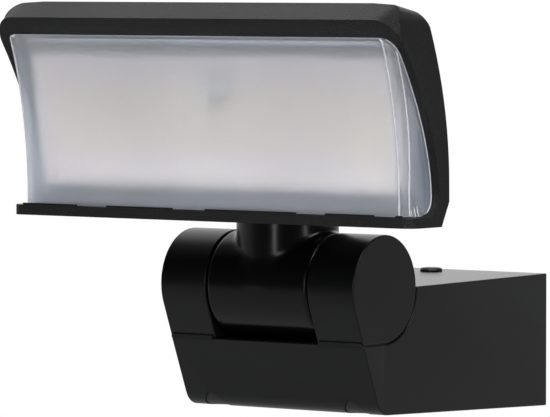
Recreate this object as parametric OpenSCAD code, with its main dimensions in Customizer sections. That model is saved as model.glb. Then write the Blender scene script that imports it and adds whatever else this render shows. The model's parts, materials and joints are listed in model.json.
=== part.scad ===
// Wall floodlight: a base box with two clamp cheeks, a tilting T-shaped arm and a swivelling lamp head.
// Millimetres, +Z up, the light looks along -Y, the wall is the plane y = 0.
// The origin is the centre of the base's face against the wall.

/* [Base] */
// Width of the base box and of the cheeks across their outer faces
base_w = 95; // [90:0.5:100]
// Distance from the wall to the tilt axis
reach = 115; // [112:0.5:130]
// Height of the base box where it meets the wall
base_h = 54.4; // [53.5:0.1:56]
// Slope of the base's underside, rising towards the front
floor_slope = 1.9; // [1:0.1:2.5]
// Lean of the base's front face from vertical
front_lean = 22; // [20:1:24]
// Wall thickness of the base box
base_t = 2.5; // [2:0.1:3]

/* [Tilt joint] */
// Radius of the drum and of the cheeks that hold it
drum_r = 21.4; // [21.2:0.1:21.6]
// Length of the drum between the cheeks
drum_w = 49.4; // [48:0.2:50]
// Gap between the drum and the pieces around it
joint_gap = 0.5; // [0.4:0.1:0.6]
// Radius of the trunnions at the drum's two ends
trunnion_r = 12; // [11.5:0.1:12]
// Radius of the neck that rises from the drum
neck_r = 20.4; // [20:0.1:20.4]

/* [Lamp head] */
// Width of the lamp head
head_w = 197; // [190:1:205]
// Height of the head's underside above the tilt axis
head_low = 27.4; // [27.4:0.1:29]
// Thickness of the head's bottom lip
lip_t = 4; // [3.5:0.1:4.5]
// Thickness of the head's side walls
side_t = 3.5; // [3:0.1:4]
// Lean of the light board, so that it looks slightly down
board_lean = 8.1; // [7:0.1:9]
// Number of rows of light emitters
led_rows = 3; // [2:1:4]
// Number of light emitters in a row
led_columns = 18; // [12:1:22]

/* [Hidden] */
$fn = 64;
eps = 0.01;
axis_z = base_h / 2 - 0.7;
drum_end = drum_w / 2;
cheek_in = drum_end + joint_gap;
cheek_out = base_w / 2;
box_top = 0.7;
floor_rear = box_top - base_h;
cradle_r = drum_r + joint_gap;
fit_gap = 0.05;

// Clamp screws that hold the cheeks down on the base
clamp_x = 34.5;
well_r = 5.3;
well_top = -36;
clamp_hole_r = 2.3;
clamp_tip = -14.5;

// Trunnion seats inside the cheeks
bush_r = trunnion_r + 1.5;
trunnion_end = 38;
seat_end = 39;
chamber_r = 9;
chamber_end = 45;
lead_r = 2.3;
lead_way_r = 3;
lead_at = [-42.3, 7];

// Neck spigot and the head's hub
neck_top = 27.6;
hub_low = 28.1;
hub_r = 23;
hub_top = 70;
spigot_r = 14;
spigot_top = 57;
shelf_z = 51.5;
arm_bore_r = 5;

// Head outline in side view, measured from the tilt axis, y towards the wall
lip_y = -54;
lip_top = head_low + lip_t;
opening_top = 99.85;
crease_z = 106.5;
ridge = [-54, 112.7];
rear_wall_t = 3;
rear_flat_y = -29.5;
edge_foot = 38;
edge_reach = 36;

// Diffuser
lens_front_w = 182;
lens_rear_w = 189;
lens_low = lip_top;
lens_y = -52.1;
lens_bend = 185;
lens_foot = 35;
lens_t = 2;

// Stack on the light board's leaning plane, each from the rear to the front
stack_foot = [-34, 32];
spreader_t = 2.5;
board_t = 1.6;
seal_t = 2;
stack_h = 67;

// Screw holes of the wall plate
slot_x = 60;
slot_r = 2.4;
slot_len = 9;
entry_z = -13;

black = "#1a1a1b";
satin = "#151516";
rubber = "#0b0b0c";
steel = "#b9bcc0";

// ---------- placing helpers ----------

// Everything but the wall plate is drawn from the tilt axis
module at_axis() translate([0, -reach, axis_z]) children();

// A side-view shape (y, z) made w wide along X, centred
module along_x(w) rotate([90, 0, 90]) translate([0, 0, -w / 2]) linear_extrude(w) children();

// A front-view shape (x, z) from y0 to y0 + len
module along_y(y0, len) translate([0, y0 + len, 0]) rotate([90, 0, 0]) linear_extrude(len) children();

// A cylinder along X from x0 to x1
module rod_x(r, x0, x1) translate([x0, 0, 0]) rotate([0, 90, 0]) cylinder(r = r, h = x1 - x0);

// A cylinder along Z from z0 to z1
module rod_z(r, z0, z1) translate([0, 0, z0]) cylinder(r = r, h = z1 - z0);

// A cylinder that points forwards from y0 to y1, with y1 nearer the wall
module rod_y(r, y0, y1) translate([0, y1, 0]) rotate([90, 0, 0]) cylinder(r = r, h = y1 - y0);

// A flat ring along Z
module ring_z(ri, ro, z0, z1) difference() {
    rod_z(ro, z0, z1);
    rod_z(ri, z0 - 1, z1 + 1);
}

// A copy on each side of the middle
module both_sides() {
    children();
    mirror([1, 0, 0]) children();
}

// A round lead through a list of points
module lead(points, r = lead_r) {
    for (i = [0 : len(points) - 2]) {
        run = points[i + 1] - points[i];
        translate(points[i]) rotate([0, acos(run[2] / norm(run)), atan2(run[1], run[0])])
            cylinder(r = r, h = norm(run), $fn = 24);
    }
    for (i = [1 : 1 : len(points) - 2]) translate(points[i]) sphere(r = r, $fn = 24);
}

// A cross-recess pan screw that points along -Z from the head's seat at the origin
module pan_screw(r, head_r, head_h, length) difference() {
    union() {
        rod_z(r, -length, eps);
        rod_z(head_r, 0, head_h);
    }
    for (turn = [0, 90]) rotate(turn)
        translate([-head_r * 0.6, -0.4, head_h * 0.45]) cube([head_r * 1.2, 0.8, head_h]);
}

// The light board's leaning plane: x sideways, z up the board, -y forwards
module on_stack() translate([0, stack_foot[0], stack_foot[1]]) rotate([board_lean, 0, 0]) children();

// A plate on that plane, w wide, from z0 to z1, its rear face at depth d, t thick
module stack_plate(w, z0, z1, d, t) translate([-w / 2, -d - t, z0]) cube([w, t, z1 - z0]);

// ---------- side-view outlines ----------

// Front edge of the head's side walls: steep at the foot, sweeping forwards to the visor
function edge_y(z) = -(edge_reach + 25 * pow(max(0, z - edge_foot) / 61.5, 1.75));

// Rear face of the head: flat low down, curving forwards to the top
function rear_y(z) = rear_flat_y - 13 * pow(max(0, z - 45) / 60, 2);

// Points on an arc about c, from angle a0 to a1
function arc(c, r, a0, a1, n = 8) = [for (i = [0 : n]) let (a = a0 + (a1 - a0) * i / n)
    [c[0] + r * cos(a), c[1] + r * sin(a)]];

foot_curve = arc([-44, edge_foot + 1], edge_foot + 1 - lip_top, 0, -90, 6);

head_outline = concat(
    [[lip_y, head_low], [-34.5, head_low], [rear_flat_y, 34.5]],
    [for (z = [45 : 8 : 101]) [rear_y(z), z]],
    [[-42.4, 106], [-43.6, 109.4], [-45.5, 110.6], ridge],
    [for (z = [crease_z : -5 : edge_foot + 1]) [edge_y(z), z]],
    foot_curve,
    [[lip_y, lip_top]]);

head_hollow = concat(
    [[-80, lip_top], [-37.5, lip_top], [rear_flat_y - rear_wall_t, 36.5]],
    [for (z = [45 : 8 : 93]) [rear_y(z) - rear_wall_t, z]],
    [[-46, opening_top], [-80, opening_top]]);

// Front of the diffuser at height z: upright at the foot, leaning out to the top
function lens_front(z) = lens_y - lens_bend + sqrt(pow(lens_bend, 2) - pow(max(0, z - lens_foot), 2));

// Rear edge of the diffuser, on the front of its seal
function stack_y(z, d) = stack_foot[0] - d / cos(board_lean) - (z - stack_foot[1]) * tan(board_lean);

lens_rear_d = spreader_t + seal_t + 0.02;

// Side view of the diffuser's outside, or of its hollow, drawn in by a wall and open at the rear
module lens_side(draw_in, back) {
    low = lens_low + draw_in;
    high = opening_top - draw_in;
    steps = 10;
    polygon(concat(
        [[stack_y(low, lens_rear_d) + back, low]],
        [for (i = [0 : steps]) let (z = low + (high - low) * i / steps) [lens_front(z) + draw_in, z]],
        [[stack_y(high, lens_rear_d) + back, high]]));
}

front_foot_y = -(drum_r - drum_r * sin(front_lean)) / cos(front_lean);
floor_front = floor_rear + reach * tan(floor_slope);

// Side view of the cheeks: a disc with a flat front that leans back to the split with the base
module cheek_side() {
    circle(r = drum_r, $fn = 96);
    polygon([[0, 0], [-drum_r * cos(front_lean), -drum_r * sin(front_lean)],
        [front_foot_y, -drum_r], [0, -drum_r]]);
}

// ---------- base ----------

// Front corner of the base's underside, rounded
function front_y(z) = front_foot_y + (-drum_r - z) * tan(front_lean);
corner_r = 5;
corner_turn = 90 - front_lean;
corner_c = [front_y(floor_front + corner_r) + corner_r / cos(front_lean), floor_front + corner_r];

base_outline = concat(
    arc([0, 0], cradle_r, 0, -90, 24),
    [[front_foot_y, -cradle_r]],
    arc(corner_c, corner_r, 180 + front_lean, 270, 8),
    [[reach, floor_rear], [reach, box_top]]);

base_hollow = concat(
    arc([0, 0], cradle_r + base_t, -4, -90, 16),
    [[front_foot_y + base_t + 1, -cradle_r - base_t],
     [front_y(floor_front + base_t + 3) + base_t + 0.6, floor_front + base_t + 3],
     [corner_c[0], floor_front + base_t],
     [reach + 5, floor_rear + base_t], [reach + 5, box_top - base_t]]);

board_z = -39;
post_at = [[33, 42], [33, 88]];
plate_screw_at = [36, 106];
sink_z = floor_rear + 2.4;

module base_housing() color(satin) at_axis() difference() {
    union() {
        difference() {
            along_x(base_w) polygon(base_outline);
            along_x(base_w - 2 * base_t) polygon(base_hollow);
        }
        // columns for the clamp screws
        both_sides() intersection() {
            translate([clamp_x, 0, 0]) rod_z(7, floor_rear, -cradle_r - 1);
            along_x(base_w) polygon(base_outline);
        }
        // bosses round the sunk plate screws
        both_sides() translate([plate_screw_at[0], plate_screw_at[1], 0]) rod_z(5.5, floor_rear + 1, sink_z + 1.6);
        // posts under the driver board
        both_sides() for (p = post_at) translate([p[0], p[1], 0]) rod_z(3.2, floor_rear + 2, board_z);
    }
    both_sides() translate([clamp_x, 0, 0]) {
        rod_z(well_r, floor_rear - 5, well_top);
        rod_z(clamp_hole_r, well_top - 1, 0);
    }
    both_sides() for (p = post_at) translate([p[0], p[1], 0]) rod_z(1.3, board_z - 8, board_z + 1);
    both_sides() translate([plate_screw_at[0], plate_screw_at[1], 0]) {
        rod_z(2.2, floor_rear - 5, -45);
        rod_z(3.7, floor_rear - 5, sink_z);
    }
    translate([lead_at[0], lead_at[1], 0]) rod_z(lead_way_r, -30, 0);
    translate([0, cap_y, 0]) rod_z(cap_stem_r, -10, 10);
}

cap_y = 100;
cap_stem_r = 3.4;
cap_head_r = 4.6;

module top_cap() color(black) at_axis() translate([0, cap_y, 0]) {
    rod_z(cap_stem_r, -3.5, box_top + eps);
    rod_z(cap_head_r, box_top, box_top + 0.8);
    translate([0, 0, box_top + 0.8 - eps]) cylinder(r1 = cap_head_r, r2 = cap_head_r - 1, h = 0.8);
    ring_z(cap_stem_r - 1, cap_stem_r + 0.6, -3.5, box_top - base_t);
}

// ---------- wall side ----------

plate_w = 84;
plate_low = floor_rear + base_t + 2.5;
plate_high = box_top - base_t - 2.3;
plate_t = 3;
foot_z = sink_z + 1.7 + axis_z;

// Slotted hole built from two round ends and a straight middle
module slot_cut(x) translate([x, 0, 0]) {
    half = slot_len / 2 - slot_r;
    for (end = [-1, 1]) translate([end * half, 0, 0]) rod_y(slot_r, -plate_t - 1, 1);
    translate([-half, -plate_t - 1, -slot_r]) cube([2 * half, plate_t + 2, 2 * slot_r]);
}

module wall_plate() color(black) difference() {
    union() {
        translate([-plate_w / 2, -plate_t, plate_low + axis_z])
            cube([plate_w, plate_t, plate_high - plate_low]);
        // feet that the plate screws hold
        both_sides() translate([plate_screw_at[0] - 6, -15, foot_z])
            cube([12, 15 - plate_t + eps, 4.2]);
        // shelf for the terminal block
        translate([-17, -22, 5]) cube([34, 22 - plate_t + eps, 2]);
    }
    both_sides() slot_cut(slot_x / 2);
    translate([0, 0, entry_z]) rod_y(8, -10, 5);
    both_sides() translate([plate_screw_at[0], plate_screw_at[1] - reach, 0])
        rod_z(1.7, foot_z - 1, foot_z + 5);
}

module wall_seal() color(rubber) difference() {
    w = base_w - 2 * base_t;
    low = floor_rear + base_t + 0.2 + axis_z;
    high = box_top - base_t + axis_z;
    translate([-w / 2, -2, low]) cube([w, 2, high - low]);
    translate([-w / 2 + 2, -3, low + 1.8]) cube([w - 4, 4, high - low - 3.6]);
}

module cable_grommet() color(rubber) translate([0, 0, entry_z]) difference() {
    union() {
        rod_y(8, -plate_t - 1.5, -0.2);
        rod_y(9.5, -plate_t - 1.5, -plate_t);
        translate([0, -plate_t - 1.5, 0]) rotate([90, 0, 0]) cylinder(r1 = 7, r2 = 5.5, h = 4);
    }
    rod_y(4, -20, 5);
}

module plate_screws() color(steel) at_axis() both_sides()
    translate([plate_screw_at[0], plate_screw_at[1], sink_z])
        rotate([180, 0, 0]) pan_screw(1.65, 3.4, 1.8, 7);

// ---------- driver ----------

module terminal_block() color("#d9d8d2") difference() {
    translate([-14, -20, 7]) cube([28, 15, 12]);
    for (i = [-1 : 1]) translate([i * 9, 0, 12]) {
        rod_y(2.2, -25, 0);
        translate([0, -12.5, 0]) rod_z(2.1, 1, 10);
    }
}

module terminal_screws() color(steel) for (i = [-1 : 1])
    translate([i * 9, -12.5, 16]) pan_screw(1.4, 2, 1.6, 3);

wire_names = [[-1, "#6b4a2f"], [0, "#3c7a3a"], [1, "#2d5fa8"]];

module supply_wires() for (w = wire_names) color(w[1])
    lead([[w[0] * 9, -14, 12], [w[0] * 9, -28, 12], [w[0] * 9, -28, axis_z + board_z + 1.6]], 1.1);

module driver_board() color("#1f5a35") at_axis() difference() {
    translate([-38, 36, board_z]) cube([76, 58, 1.6]);
    both_sides() for (p = post_at) translate([p[0], p[1], 0]) rod_z(1.6, board_z - 1, board_z + 3);
}

module driver_transformer() color("#c9a227") at_axis() {
    translate([-12, 52, board_z + 1.6]) cube([24, 20, 4]);
    translate([-9, 54, board_z + 5.6 - eps]) cube([18, 16, 11]);
    translate([-12, 52, board_z + 16.6 - 2 * eps]) cube([24, 20, 4]);
}

module driver_capacitors() color("#24324f") at_axis() {
    for (x = [-27, 24]) translate([x, 62, 0]) {
        rod_z(6, board_z + 1.6, board_z + 22);
        ring_z(3, 5.6, board_z + 22 - eps, board_z + 22.5);
    }
    translate([-30, 76, board_z + 1.6]) cube([16, 8, 11]);
}

module driver_screws() color(steel) at_axis() both_sides() for (p = post_at)
    translate([p[0], p[1], board_z + 1.6]) pan_screw(1.25, 2.6, 1.6, 8);

module lead_base_run() color(rubber) at_axis()
    lead([[lead_at[0], lead_at[1], -3], [lead_at[0], lead_at[1], -34.5],
        [lead_at[0], 50, -34.5], [-36, 50, -34.5]]);

// ---------- tilt joint ----------

module cheek(side) color(satin) at_axis() difference() {
    mirror([side < 0 ? 1 : 0, 0, 0]) difference() {
        intersection() {
            along_x(base_w) cheek_side();
            translate([cheek_in, -50, -50]) cube([cheek_out - cheek_in, 100, 100]);
        }
        rod_x(bush_r, cheek_in - 1, seat_end);
        rod_x(chamber_r, seat_end - 1, chamber_end);
        translate([clamp_x, 0, 0]) rod_z(1.7, -30, clamp_tip);
    }
    if (side < 0) translate([lead_at[0], lead_at[1], 0]) rod_z(lead_way_r, -30, 0);
}

module left_cheek() cheek(-1);
module right_cheek() cheek(1);

module clamp_screws() color(steel) at_axis() both_sides() translate([clamp_x, 0, well_top])
    rotate([180, 0, 0]) pan_screw(1.65, 3.6, 2.4, clamp_tip - well_top - 0.3);

module screw_plugs() color(black) at_axis() both_sides() intersection() {
    translate([clamp_x, 0, 0]) difference() {
        rod_z(well_r - fit_gap, floor_rear, floor_front + 5.5);
        rod_z(well_r - 1.6, floor_front + 2.5, floor_front + 9);
    }
    // the plug's face sits a little inside the base's rounded corner
    translate([0, 0.9, 0.9]) along_x(base_w) polygon(base_outline);
}

module tilt_bushes() color("#e4e2da") at_axis() both_sides() difference() {
    rod_x(bush_r, cheek_in + 1.8, trunnion_end);
    rod_x(trunnion_r + fit_gap, 0, 50);
}

module trunnion_seals() color(rubber) at_axis() both_sides() difference() {
    rod_x(bush_r, cheek_in, cheek_in + 1.8);
    rod_x(trunnion_r + fit_gap, 0, 50);
}

module friction_washers() color(steel) at_axis() both_sides() difference() {
    rod_x(bush_r - 0.1, trunnion_end + 0.3, seat_end);
    rod_x(chamber_r, 0, 50);
}

// ---------- arm ----------

drum_edge = 1.2;

module drum() rotate([0, 90, 0]) rotate_extrude($fn = 128) polygon(concat(
    [[0, -drum_end]],
    arc([drum_r - drum_edge, -drum_end + drum_edge], drum_edge, -90, 0, 4),
    arc([drum_r - drum_edge, drum_end - drum_edge], drum_edge, 0, 90, 4),
    [[0, drum_end]]));

module swivel_arm() color(satin) at_axis() difference() {
    union() {
        drum();
        rod_x(trunnion_r, -trunnion_end, trunnion_end);
        rod_z(neck_r, 0, neck_top);
        rod_z(spigot_r, neck_top - 1, spigot_top);
    }
    rod_x(arm_bore_r, -60, 0);
    sphere(r = 9);
    rod_z(9, 0, spigot_top + 5);
    ring_z(spigot_r - 1, spigot_r + 5, 52, 53.3);
}

module lead_arm_run() color(rubber) at_axis()
    lead([[-38.4, 0, 0], [-5, 0, 0], [0, 0, 6], [0, 0, spigot_top + 1.5]]);

module swivel_clip() color(steel) at_axis() difference() {
    ring_z(spigot_r - 1, spigot_r + 2.4, 52.1, 53.2);
    translate([-2.5, 0, 50]) cube([5, 30, 5]);
}

// ---------- head ----------

hub_screw_at = [[17, 42], [17, 56]];
hub_seat_gap = 0.3;

module hub_screws() color(steel) at_axis() both_sides() for (p = hub_screw_at)
    translate([p[0], rear_y(p[1]) - rear_wall_t - hub_seat_gap, p[1]])
        rotate([90, 0, 0]) pan_screw(1.95, 3.4, 1.9, 13);

module head_hub() color(black) at_axis() difference() {
    union() {
        rod_z(hub_r, hub_low, hub_top);
        translate([-hub_r, -33, hub_low]) cube([2 * hub_r, 33, hub_top - hub_low]);
    }
    along_x(head_w) polygon(head_outline);
    rod_z(spigot_r + fit_gap, hub_low - 1, shelf_z + 1);
    rod_z(18, shelf_z, hub_top - 3);
    ring_z(spigot_r + 1.2, spigot_r + 3.8, hub_low - 1, hub_low + 2);
    // way for the lead into the head
    translate([0, 0, 62]) rod_y(4, -60, 0);
    both_sides() for (p = hub_screw_at) translate([p[0], 0, p[1]]) rod_y(2, -42, rear_flat_y + 11);
    translate([0, rear_y(62), 62]) rod_y(9.05, -8, 1.5);
}

module neck_seal() color(rubber) at_axis()
    ring_z(spigot_r + 1.25, spigot_r + 3.75, hub_low + 0.1, hub_low + 1.95);

module swivel_washer() color(steel) at_axis() ring_z(spigot_r + 0.3, 17, shelf_z, shelf_z + 0.25);

module hub_seal() color(rubber) at_axis() intersection() {
    translate([0, rear_y(62) + 1.5, 62]) difference() {
        rod_y(9, -5, 0);
        rod_y(4.2, -20, 5);
    }
    difference() {
        translate([-20, -33, 40]) cube([40, 33, 40]);
        along_x(head_w) polygon(head_outline);
    }
}

// Front view of the head: straight sides, rounded top corners
head_corner_r = 8;

module head_front() {
    high = ridge[1] + 1;
    translate([-head_w / 2, 0]) square([head_w, high - head_corner_r]);
    translate([-head_w / 2 + head_corner_r, 0]) square([head_w - 2 * head_corner_r, high]);
    for (side = [-1, 1]) translate([side * (head_w / 2 - head_corner_r), high - head_corner_r])
        circle(r = head_corner_r);
}

// Plan of the head: the front corners of the lip are rounded
lip_corner_r = 6;

module head_plan() {
    translate([-head_w / 2, lip_y + lip_corner_r]) square([head_w, 60]);
    translate([-head_w / 2 + lip_corner_r, lip_y]) square([head_w - 2 * lip_corner_r, 60]);
    for (side = [-1, 1]) translate([side * (head_w / 2 - lip_corner_r), lip_y + lip_corner_r])
        circle(r = lip_corner_r);
}

// Low bars along the lip, between the diffuser's catches
bar_spans = [[-92.5, -65], [-50, -17], [-1, 43], [57, 80], [90, 93]];
spreader_pads = [[70, 14.4], [70, 57.6], [30, 57.6]];

module head_housing() color(black) at_axis() difference() {
    union() {
        difference() {
            intersection() {
                along_x(head_w) polygon(head_outline);
                along_y(-90, 90) head_front();
                union() {
                    linear_extrude(60) head_plan();
                    translate([-head_w, -90, 45]) cube([2 * head_w, 90, 90]);
                }
            }
            along_x(head_w - 2 * side_t) polygon(head_hollow);
        }
        for (s = bar_spans) translate([s[0], lip_y + 0.6, lip_top - eps])
            cube([s[1] - s[0], 0.9, 0.5 + eps]);
        // pads behind the heat spreader
        intersection() {
            on_stack() both_sides() for (p = spreader_pads) translate([p[0], 0, p[1]]) rod_y(4.5, -eps, 14);
            along_x(head_w) polygon(head_outline);
        }
    }
    on_stack() both_sides() for (p = spreader_pads) translate([p[0], 0, p[1]]) rod_y(1.3, -1, 3.5);
    both_sides() for (p = hub_screw_at) translate([p[0], 0, p[1]]) rod_y(2.1, -60, -20);
    translate([0, 0, 62]) rod_y(4.2, -60, -20);
}

module heat_spreader() color("#2b2c2e") at_axis() on_stack() difference() {
    stack_plate(187, 4.6, stack_h - 3.8, 0, spreader_t);
    both_sides() for (p = spreader_pads) translate([p[0], 0, p[1]]) rod_y(1.7, -5, 5);
    translate([0, 0, lead_stack_z]) rod_y(lead_hole_r, -5, 5);
}

// Height up the leaning board at which the lead comes through
lead_stack_z = 43.7;
lead_hole_r = 2.6;

board_w = 171;

module led_board() color("#eef0ee") at_axis() on_stack() difference() {
    stack_plate(board_w, tray_low + 0.5, tray_high - 0.5, spreader_t, board_t);
    both_sides() for (p = spreader_pads) translate([p[0], 0, p[1]]) rod_y(1.7, -10, 5);
    translate([0, 0, lead_stack_z]) rod_y(lead_hole_r, -10, 5);
}

led_front_d = spreader_t + board_t;
led_pitch_x = 162 / led_columns;
led_pitch_z = 9;
led_w = 3;
led_mid_z = 36;

module led_emitters() color("#f2c94c") at_axis() on_stack()
    for (row = [0 : led_rows - 1], column = [0 : led_columns - 1])
        translate([(column - (led_columns - 1) / 2) * led_pitch_x - led_w / 2, -led_front_d - 0.8,
            led_mid_z + (row - (led_rows - 1) / 2) * led_pitch_z - led_w / 2])
                cube([led_w, 0.8, led_w]);

module led_connector() color("#f4f3ee") at_axis() on_stack() difference() {
    translate([-9, -led_front_d - 4.5, lead_stack_z + 3]) cube([18, 4.5, 5.2]);
    for (x = [-4.5, 4.5]) translate([x - 2.5, -led_front_d - 3.5, lead_stack_z + 2]) cube([5, 2.5, 4.5]);
}

module board_screws() color(steel) at_axis() on_stack() both_sides() for (p = spreader_pads)
    translate([p[0], -led_front_d, p[1]]) rotate([90, 0, 0]) pan_screw(1.25, 2.8, 1.4, 7);

tray_w = 173;
tray_low = 9.7;
tray_high = 62.7;
tray_d = 11.3;
well_w = [162, 168];

module reflector_tray() color("#f6f6f4") at_axis() on_stack() difference() {
    stack_plate(tray_w, tray_low, tray_high, led_front_d + 0.1, tray_d - led_front_d);
    // the light well widens towards the front
    hull() {
        translate([-well_w[0] / 2, -led_front_d - 1, 19]) cube([well_w[0], 1, 34]);
        translate([-well_w[1] / 2, -tray_d - 2, 12.7]) cube([well_w[1], 1, 47]);
    }
    translate([-well_w[0] / 2, -led_front_d - 1.2, 19]) cube([well_w[0], 3, 34]);
    // pockets behind the well's lips for the screw heads
    both_sides() for (p = spreader_pads) translate([p[0], 0, p[1]]) rod_y(3.1, -led_front_d - 1.9, 0);
}

module lens_seal() color(rubber) at_axis() on_stack() difference() {
    stack_plate(lens_rear_w - 1, 0.6, stack_h, spreader_t, seal_t);
    stack_plate(183, 3.5, stack_h - 3.5, spreader_t - 1, seal_t + 2);
}

// Plan of the diffuser: its ends draw in towards the front
module lens_plan(draw_in) polygon([
    [-lens_rear_w / 2 + draw_in, -35], [-lens_front_w / 2 + draw_in, -66],
    [lens_front_w / 2 - draw_in, -66], [lens_rear_w / 2 - draw_in, -35]]);

module diffuser() color("#dcdde6", 0.6) at_axis() difference() {
    intersection() {
        along_x(head_w) lens_side(0.1, 0);
        linear_extrude(120) lens_plan(0);
    }
    intersection() {
        along_x(head_w) lens_side(lens_t, 8);
        linear_extrude(120) lens_plan(lens_t);
    }
}

module lead_head_run() color(rubber) at_axis()
    lead([[0, -4, 62], [0, -37.1, 62], [0, -37.1, 75], [0, -46, 75], [0, -46, 77.2]], 1.2);

wall_plate();
wall_seal();
cable_grommet();
plate_screws();
base_housing();
top_cap();
terminal_block();
terminal_screws();
supply_wires();
driver_board();
driver_transformer();
driver_capacitors();
driver_screws();
lead_base_run();
left_cheek();
right_cheek();
clamp_screws();
screw_plugs();
tilt_bushes();
trunnion_seals();
friction_washers();
swivel_arm();
lead_arm_run();
swivel_clip();
head_hub();
neck_seal();
swivel_washer();
hub_screws();
hub_seal();
head_housing();
heat_spreader();
led_board();
led_emitters();
led_connector();
board_screws();
reflector_tray();
lens_seal();
diffuser();
lead_head_run();
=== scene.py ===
"""A wall floodlight: lamp head, frosted diffuser, swivel arm, cheeks and base, from the front right."""
import json
import math

import bmesh
import bpy
import numpy as np
from mathutils import Matrix, Vector


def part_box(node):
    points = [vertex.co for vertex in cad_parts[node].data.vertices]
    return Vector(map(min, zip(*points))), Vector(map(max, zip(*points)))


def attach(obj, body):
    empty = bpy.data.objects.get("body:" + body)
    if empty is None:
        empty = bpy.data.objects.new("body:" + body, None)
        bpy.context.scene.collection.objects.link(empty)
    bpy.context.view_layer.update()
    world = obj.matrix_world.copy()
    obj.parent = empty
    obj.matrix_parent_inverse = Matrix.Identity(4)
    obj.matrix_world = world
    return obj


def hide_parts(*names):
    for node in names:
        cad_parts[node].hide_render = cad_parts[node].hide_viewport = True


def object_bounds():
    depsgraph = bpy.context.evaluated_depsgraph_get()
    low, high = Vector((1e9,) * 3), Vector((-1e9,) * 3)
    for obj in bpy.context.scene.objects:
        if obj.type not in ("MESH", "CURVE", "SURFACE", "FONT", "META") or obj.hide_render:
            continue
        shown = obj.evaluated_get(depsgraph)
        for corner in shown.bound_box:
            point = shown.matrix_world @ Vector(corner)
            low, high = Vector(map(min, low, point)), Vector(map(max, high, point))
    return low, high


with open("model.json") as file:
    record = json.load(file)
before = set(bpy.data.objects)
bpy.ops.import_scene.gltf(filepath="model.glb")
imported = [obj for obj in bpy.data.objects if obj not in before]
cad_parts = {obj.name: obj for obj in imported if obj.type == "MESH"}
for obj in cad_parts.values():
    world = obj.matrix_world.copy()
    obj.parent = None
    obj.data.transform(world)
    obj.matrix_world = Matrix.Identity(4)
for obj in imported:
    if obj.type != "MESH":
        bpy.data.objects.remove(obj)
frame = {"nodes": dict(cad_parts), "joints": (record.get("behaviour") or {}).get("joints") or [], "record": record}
cad_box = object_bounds()
cad = frame["nodes"]

MM = 0.001
AXIS = Vector(frame["joints"][0]["pos_m"])

# ---------- sizes, in millimetres from the tilt axis: x right, f forwards, z up ----------

HEAD_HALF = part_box("head_housing")[1].x / MM
CORNER = 10.5
LIP_F = 54.0
LIP_LOW = 27.4
LIP_TOP = 31.4
LIP_CORNER = 6.0
CREASE_Z = 106.5
OPENING_Z = 99.85
OPENING_CORNER = 7.0
RIM = 3.6
RIDGE_F = 54.0
RIDGE_Z = 112.7
RIDGE_BOW = 0.7
RIDGE_SIDE_F = 59.5
RIDGE_INSET = 9.0
RIDGE_DROP = 0.5
RIDGE_CORNER = 7.5
RIDGE_CROWN = 0.67
BACK_F = 45.5
BACK_INSET = 7.0
BACK_LOWER = 2.1
BACK_DROP = 2.8
BACK_CORNER = 6.9
BACK_CROWN = 0.55
REAR_TOP_F = 42.4
REAR_TOP_LOWER = 6.0
REAR_TOP_CROWN = 0.5
REAR_TOP_CORNER = 5.0
CROWN_FROM = 83.0
CROWN_SPAN = 7.5
TOP_STATIONS = 11
FOOT_Z = 39.0
WALL = 3.0
CHAMFER_F = 34.5
REAR_F = 29.5
REAR_LOW = 34.5

LENS_FRONT_HALF = 91.0
LENS_FOOT_F = 52.1
LENS_BEND = 185.0
LENS_FOOT_Z = 35.0
LENS_LOW = 31.6
LENS_HIGH = 99.7
LENS_T = 1.2
STEP_F = 47.0
STEP_RISE = 10.0
STEP_FROM_Z = 45.0
STEP_SPAN = 47.6
CATCH_F = (43.4, 44.8, 46.4)
RIB_HALF = 86.0
RIB_DEPTHS = (2.8, 5.0)
SEAL_DEPTHS = (2.55, 4.45)
SEAL_OUTER = (93.1, 0.8, 66.6)
SEAL_INNER = (91.5, 3.5, 63.5)
BAR_SPANS = ((-92.5, -65), (-50, -17), (-1, 43), (57, 80), (90, 93))
BOARD_LEAN = math.radians(8.1)
STACK_FOOT = (34.0, 32.0)
LENS_REAR_D = 4.6

BASE_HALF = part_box("base_housing")[1].x / MM
REACH = -AXIS.y / MM
DRUM_R = 21.4
DRUM_HALF = 24.7
CHEEK_IN = 25.2
CRADLE_R = 21.9
NECK_R = 20.4
LEAN = math.radians(22)
FLOOR_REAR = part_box("base_housing")[0].z / MM - AXIS.z / MM
FLOOR_SLOPE = math.radians(1.9)
BOX_TOP = 0.7
BASE_T = 2.5
FRONT_R = 8.0
WELL_X = 34.5
WELL_R = 5.3


def place(x, f, z):
    """Row-frame metres of a point given from the tilt axis."""
    return Vector((x * MM, AXIS.y - f * MM, AXIS.z + z * MM))


# ---------- camera, light and floor ----------

CAM_AZIMUTH = math.radians(36.6)
CAM_ELEVATION = math.radians(2.726)
CAM_DISTANCE = 2.0133
CAM_LENS = 330.9
AIM_SIDE = -0.00505
AIM_UP = 0.03036


def make_camera():
    """Camera on the right of the lamp, a little above the tilt axis, with a long lens."""
    right = Vector((math.cos(CAM_AZIMUTH), math.sin(CAM_AZIMUTH), 0))
    back = Vector((math.sin(CAM_AZIMUTH) * math.cos(CAM_ELEVATION),
                   -math.cos(CAM_AZIMUTH) * math.cos(CAM_ELEVATION), math.sin(CAM_ELEVATION)))
    up = back.cross(right)
    data = bpy.data.cameras.new("camera")
    data.lens = CAM_LENS
    data.sensor_width = 36
    data.clip_end = 60
    camera = bpy.data.objects.new("camera", data)
    spot = AXIS + right * AIM_SIDE + up * AIM_UP + back * CAM_DISTANCE
    camera.matrix_world = Matrix.Translation(spot) @ Matrix((right, up, back)).transposed().to_4x4()
    bpy.context.scene.collection.objects.link(camera)
    bpy.context.scene.camera = camera


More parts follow.
